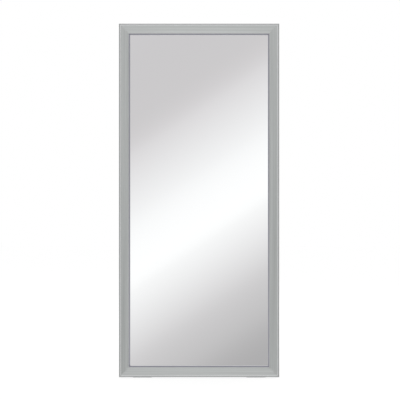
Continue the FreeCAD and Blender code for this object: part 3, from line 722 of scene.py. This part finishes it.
def ring_bows():
    """D-shaped rings of round wire: three bends, and the straight stretches that join their ends."""
    bar = RING_HALF - RING_CORNER
    bends = (  # centre, radius, first angle and sweep
        ((bar, RING_CORNER), RING_CORNER, -90, 90),
        ((0, RING_STRAIGHT), RING_HALF, 0, 180),
        ((-bar, RING_CORNER), RING_CORNER, 180, 90),
    )
    vertices = []
    for (x, z), radius, start, sweep in bends:
        for step in range(BEND_STEPS + 1):
            angle = math.radians(start + sweep * step / BEND_STEPS)
            outward = Vector((math.cos(angle), 0, math.sin(angle)))
            for around in range(WIRE_STEPS):
                turn = FULL_TURN * around / WIRE_STEPS
                offset = outward * math.cos(turn) + Vector((0, math.sin(turn), 0))
                vertices.append(Vector((x, 0, z)) + radius * outward + RING_WIRE / 2 * offset)
    sections = len(vertices) // WIRE_STEPS
    faces = []
    for section_at in range(sections):
        here, there = section_at * WIRE_STEPS, (section_at + 1) % sections * WIRE_STEPS
        for around in range(WIRE_STEPS):
            beside = (around + 1) % WIRE_STEPS
            faces.append((here + around, here + beside, there + beside, there + around))
    for side, own in hanger_frames():
        tilt = ON_WOOD if side in ("top", "bottom") else OVER_STRAP - 180
        mesh = bpy.data.meshes.new(f"ring_bow_{side}")
        mesh.from_pydata(vertices, [], faces)
        mesh.transform(own @ Matrix.Rotation(math.radians(tilt), 4, "X"))
        mesh.materials.append(BRIGHT_ZINC)
        mesh.shade_smooth()
        piece = new_object(f"ring_bow_{side}", mesh)
        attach(piece, f"ring_{side}")
        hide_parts(f"hanger_ring_{side}")


def bumpers():
    """Domed rubber bumpers with a flat top, stuck to the backs of the stiles."""
    run, rise = BUMPER_RADIUS - BUMPER_FLAT, BUMPER_HEIGHT - BUMPER_EDGE
    radius = (run ** 2 + rise ** 2) / (2 * run)
    start = math.degrees(math.asin(rise / radius))
    dome = arc((BUMPER_RADIUS - radius, BUMPER_EDGE), radius, start, 0)
    outline = [(0, BUMPER_HEIGHT), *dome, (BUMPER_RADIUS, 0), (0, 0)]
    spots = []
    for side, end, up in SIDES_AND_ENDS:
        place = (side * (WIDTH / 2 - CENTRE_LINE), BACK, end + up * BUMPER_INSET)
        spots.append(Matrix.Translation(place))
    repeated("bumpers", turned("bumper", outline), spots, "wall_bumpers", RUBBER)


plate_screws()
strap_screws()
ring_bows()
bumpers()


# ---------------------------------------------------------------- carried-over CAD nodes

def dress(node, material):
    """Give a CAD node its finish."""
    slots = frame["nodes"][node].data.materials
    slots.clear()
    slots.append(material)


NODE_FINISHES = (
    ("backing_board", HARDBOARD), ("foam_cushion", FOAM), ("glazing_points", STEEL), ("v_nails", STEEL),
    ("corner_plate", ZINC), ("hanger_", ZINC), ("setting_block", RUBBER), ("floor_pad", PALE_RUBBER),
    ("wall_bumpers", RUBBER), ("frame_", PINE), ("mirror_pane", MIRROR),
)
for node in frame["nodes"]:
    dress(node, next(material for start, material in NODE_FINISHES if node.startswith(start)))


# ---------------------------------------------------------------- studio

PIXEL = 4.751 * MM  # one pixel of the photograph, in the plane of the frame's front
PICTURE = 400
SENSOR = 36.0  # millimetres, like the lens
LENS = 100.0
AIM_X = 4.35 * MM
AIM_RISE = 1.9 * MM  # above the frame's middle
FLOOR_SIZE = 30.0
FLOOR_DROP = 0.1 * MM
FLOOR_GLOW = 1.15
SHADOW_SHARE = 0.35  # how much of the floor's own shading the camera sees under its glow


def studio_camera():
    """Straight on, just off the frame's middle, where the picture's centre lies."""
    distance = PIXEL * PICTURE * LENS / SENSOR
    data = bpy.data.cameras.new("camera")
    data.lens = LENS
    data.sensor_width = SENSOR
    camera = new_object("camera", data)
    camera.location = (AIM_X, FRONT - distance, MIDDLE + AIM_RISE)
    camera.rotation_euler = (math.pi / 2, 0, 0)
    bpy.context.scene.camera = camera


def white_floor():
    """A white floor that still shows the object's shadow; the mirror reflects the studio over it."""
    material, tree, shader = principled("studio_floor", (0.85, 0.85, 0.85), 0.9)
    path = tree.nodes.new("ShaderNodeLightPath")
    glow = tree.nodes.new("ShaderNodeEmission")
    glow.inputs["Strength"].default_value = FLOOR_GLOW
    mix = tree.nodes.new("ShaderNodeMixShader")
    share = calculate(tree, "MULTIPLY", path.outputs["Is Camera Ray"], 1 - SHADOW_SHARE)
    tree.links.new(share, mix.inputs["Fac"])
    tree.links.new(shader.outputs["BSDF"], mix.inputs[1])
    tree.links.new(glow.outputs["Emission"], mix.inputs[2])
    tree.links.new(mix.outputs["Shader"], tree.nodes["Material Output"].inputs["Surface"])
    mesh = bpy.data.meshes.new("floor")
    half = FLOOR_SIZE / 2
    corners = [(-half, -half, 0), (half, -half, 0), (half, half, 0), (-half, half, 0)]
    mesh.from_pydata(corners, [], [(0, 1, 2, 3)])
    mesh.materials.append(material)
    floor = new_object("floor", mesh)
    floor.location.z = -FLOOR_DROP
    floor.visible_glossy = False


# What gloss reflects ahead: tones by place across slanting bands.  A direction's place is SLANT times its
# part to the right, less its part upwards
SLANT = 0.66
SHEEN_STOPS = (
    (-0.420, (0.880, 0.880, 0.880)),
    (-0.240, (0.640, 0.630, 0.640)),
    (-0.112, (0.584, 0.569, 0.576)),
    (-0.080, (0.688, 0.673, 0.681)),
    (-0.026, (0.872, 0.872, 0.875)),
    (0.016, (0.965, 0.965, 0.965)),
    (0.042, (0.908, 0.908, 0.908)),
    (0.096, (0.658, 0.648, 0.653)),
    (0.144, (0.497, 0.489, 0.493)),
    (0.188, (0.410, 0.404, 0.408)),
    (0.260, (0.520, 0.515, 0.520)),
    (0.420, (0.880, 0.880, 0.880)),
)
REACH = 0.5  # the places that the sheen's ramp covers, on both sides of the middle
# How far sideways the sheen goes: where the walls begin to show, and where only they are left
SHEEN_HALF_WIDTH = (0.14, 0.26)
# The walls' soft slanting bands: their darkest and lightest tone, and the distance from one to the next
WALL_LEVELS = (0.66, 0.98)
WALL_PITCH = 0.66
# Shares of the level by how far sideways: grey screens stand on both sides of the sheen
SIDE_STOPS = ((0.06, 1.0), (0.15, 0.57), (0.42, 0.48), (0.60, 0.84), (0.85, 0.96), (0.98, 0.54))
# How far up and down the screens go: where they begin to fade, and where they are gone
SCREEN_ENDS = (0.40, 0.80)
# Shares of the level by how far up or down
UPRIGHT_STOPS = ((0.16, 0.70), (0.28, 0.98), (0.55, 0.66), (0.95, 0.40))
# The share of the level behind the object, and between which parts backwards it is reached
BEHIND = 0.85
BEHIND_FADE = (-0.2, 0.5)
GLOSS_LEVEL = 1.543
PLAIN_LEVEL = 0.85  # what surfaces without gloss get from every side

LAMP_SIZE = 2.5
LAMP_POWER = 60


def studio_ramp(tree, value, stops, interpolation):
    """A ramp through stops that are (place, level or colour)."""
    node = tree.nodes.new("ShaderNodeValToRGB")
    node.color_ramp.interpolation = interpolation
    while len(node.color_ramp.elements) < len(stops):
        node.color_ramp.elements.new(0.5)
    for element, (place, color) in zip(node.color_ramp.elements, stops):
        element.position = place
        element.color = (*color, 1)
    tree.links.new(value, node.inputs["Fac"])
    return node.outputs["Color"]


def greys(shares):
    """Stops of a ramp from (place, share) pairs."""
    return [(place, (share,) * 3) for place, share in shares]


def studio_world():
    """White to the camera, plain for matt surfaces, and a soft slanting sheen for gloss to reflect."""
    world = bpy.data.worlds.new("studio")
    world.use_nodes = True
    bpy.context.scene.world = world
    tree = world.node_tree
    x, y, z = split(tree, tree.nodes.new("ShaderNodeTexCoord").outputs["Generated"])
    sideways = calculate(tree, "ABSOLUTE", x)
    upright = calculate(tree, "ABSOLUTE", z)
    slant = calculate(tree, "SUBTRACT", calculate(tree, "MULTIPLY", x, SLANT), z)
    stops = [((place + REACH) / (2 * REACH), color) for place, color in SHEEN_STOPS]
    sheen = studio_ramp(tree, remapped(tree, slant, -REACH, REACH, 0, 1), stops, "CARDINAL")
    wave = calculate(tree, "SINE", calculate(tree, "MULTIPLY", slant, FULL_TURN / WALL_PITCH))
    plain = tree.nodes.new("ShaderNodeCombineColor")
    for socket in plain.inputs:
        tree.links.new(remapped(tree, wave, -1, 1, *WALL_LEVELS), socket)
    walls = remapped(tree, sideways, *SHEEN_HALF_WIDTH, 0, 1)
    seen = blended(tree, walls, sheen, plain.outputs["Color"])
    level = remapped(tree, y, *BEHIND_FADE, GLOSS_LEVEL, GLOSS_LEVEL * BEHIND)
    across = studio_ramp(tree, sideways, greys(SIDE_STOPS), "EASE")
    across = blended(tree, remapped(tree, upright, *SCREEN_ENDS, 0, 1), across, WHITE)
    level = calculate(tree, "MULTIPLY", level, across)
    level = calculate(tree, "MULTIPLY", level, studio_ramp(tree, upright, greys(UPRIGHT_STOPS), "EASE"))
    path = tree.nodes.new("ShaderNodeLightPath")
    color = blended(tree, path.outputs["Is Glossy Ray"], (PLAIN_LEVEL,) * 3, scaled(tree, seen, level))
    color = blended(tree, path.outputs["Is Camera Ray"], color, WHITE)
    tree.links.new(color, tree.nodes["Background"].inputs["Color"])


def studio_lamp(name, place):
    """A large soft lamp aimed at the middle of the mirror."""
    data = bpy.data.lights.new(name, "AREA")
    data.shape = "SQUARE"
    data.size = LAMP_SIZE
    data.energy = LAMP_POWER
    lamp = new_object(name, data)
    lamp.location = place
    aim = Vector((0, 0, MIDDLE)) - lamp.location
    lamp.rotation_euler = aim.to_track_quat("-Z", "Y").to_euler()
    lamp.visible_glossy = False


bpy.context.scene.view_settings.view_transform = "Standard"
studio_camera()
white_floor()
studio_world()
studio_lamp("lamp_front", (-2.2, -3.2, 3.4))
studio_lamp("lamp_back", (2.4, 3.0, 3.2))
